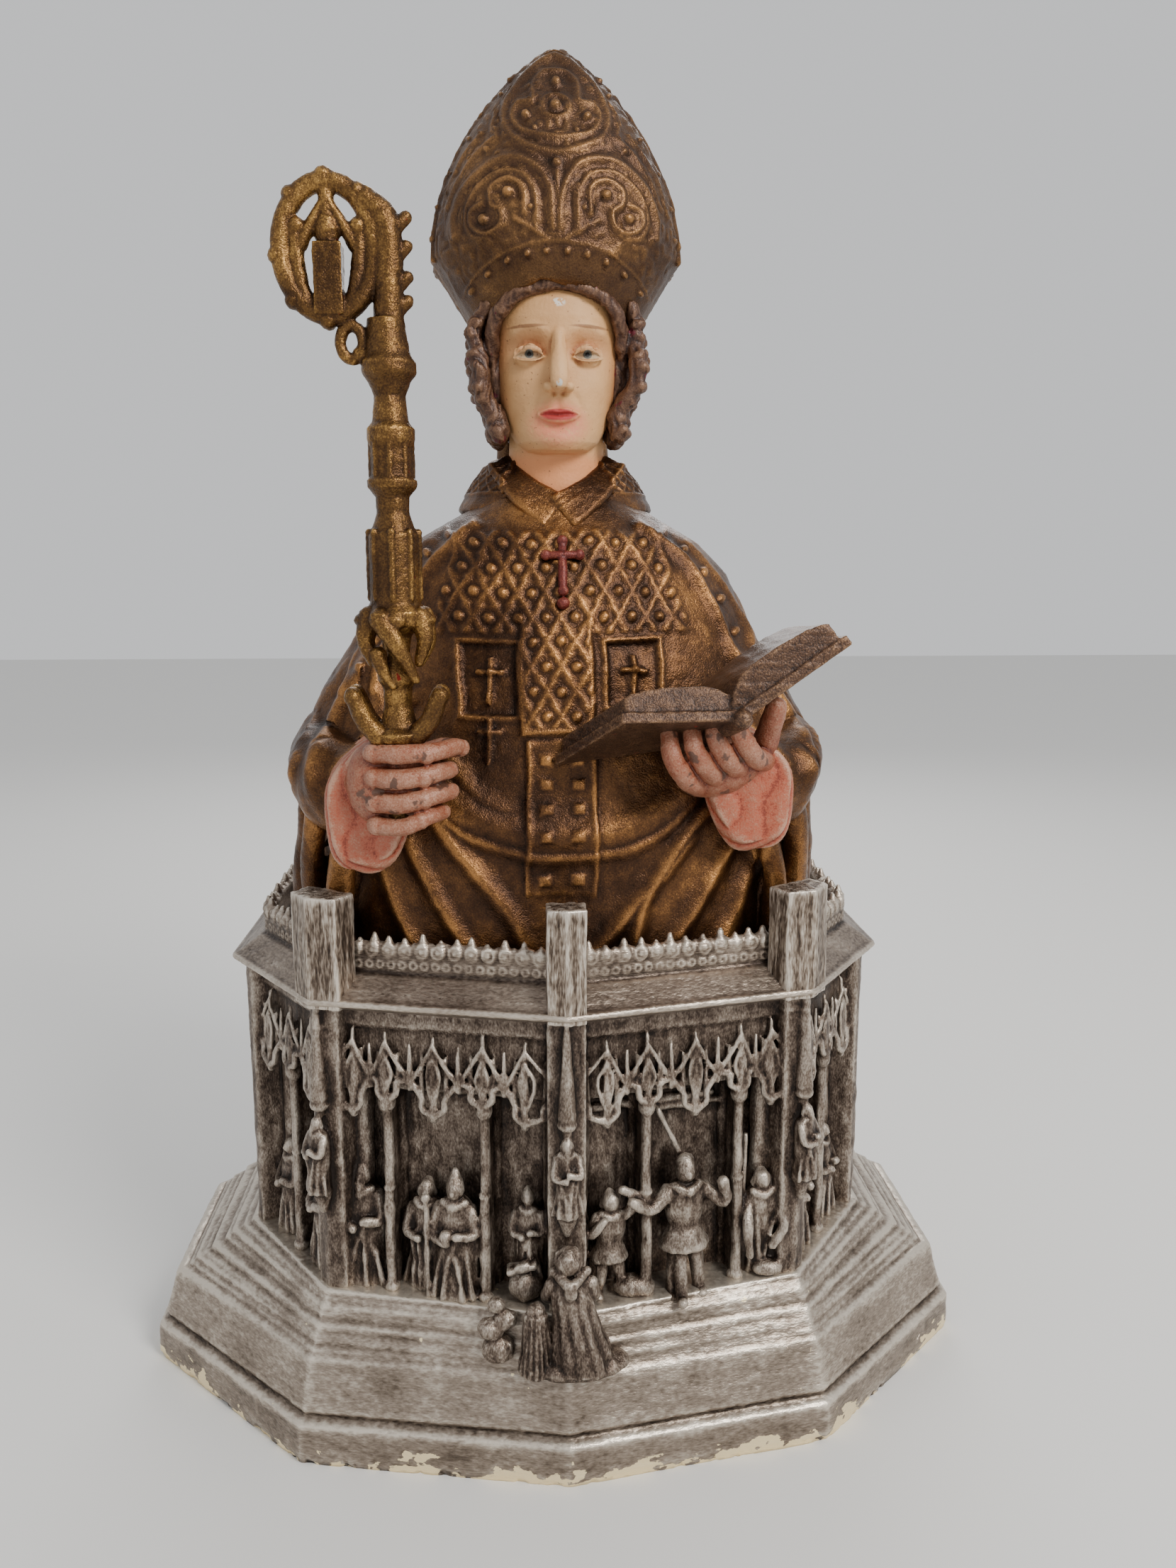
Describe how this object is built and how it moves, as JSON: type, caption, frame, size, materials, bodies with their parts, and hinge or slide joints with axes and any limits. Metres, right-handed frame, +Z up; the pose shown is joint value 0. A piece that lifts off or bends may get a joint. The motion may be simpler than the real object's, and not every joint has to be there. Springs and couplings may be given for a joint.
{
  "type": "reliquary bust",
  "caption": "Painted plaster copy of a Gothic bishop bust reliquary on an arcaded plinth, with mitre, open book and crosier.",
  "frame": {"origin": "centre of the plinth's flat underside", "axes": "+Z up, the bishop faces -Y, +X to the viewer's right"},
  "size_m": [0.3339, 0.2436, 0.5012],
  "materials": {
    "silver_painted_plaster": "plaster with worn silver paint over dark brown, cream plaster showing at the chipped lower edge",
    "gold_painted_plaster": "plaster with antique gold paint and brown patina, flesh paint on the face and hands",
    "bright_gold_painted_plaster": "plaster with bright gold paint and a few dark red spots"
  },
  "bodies": {
    "root": {"plinth": "silver_painted_plaster", "bust": "gold_painted_plaster", "crosier": "bright_gold_painted_plaster"}
  },
  "joints": []
}
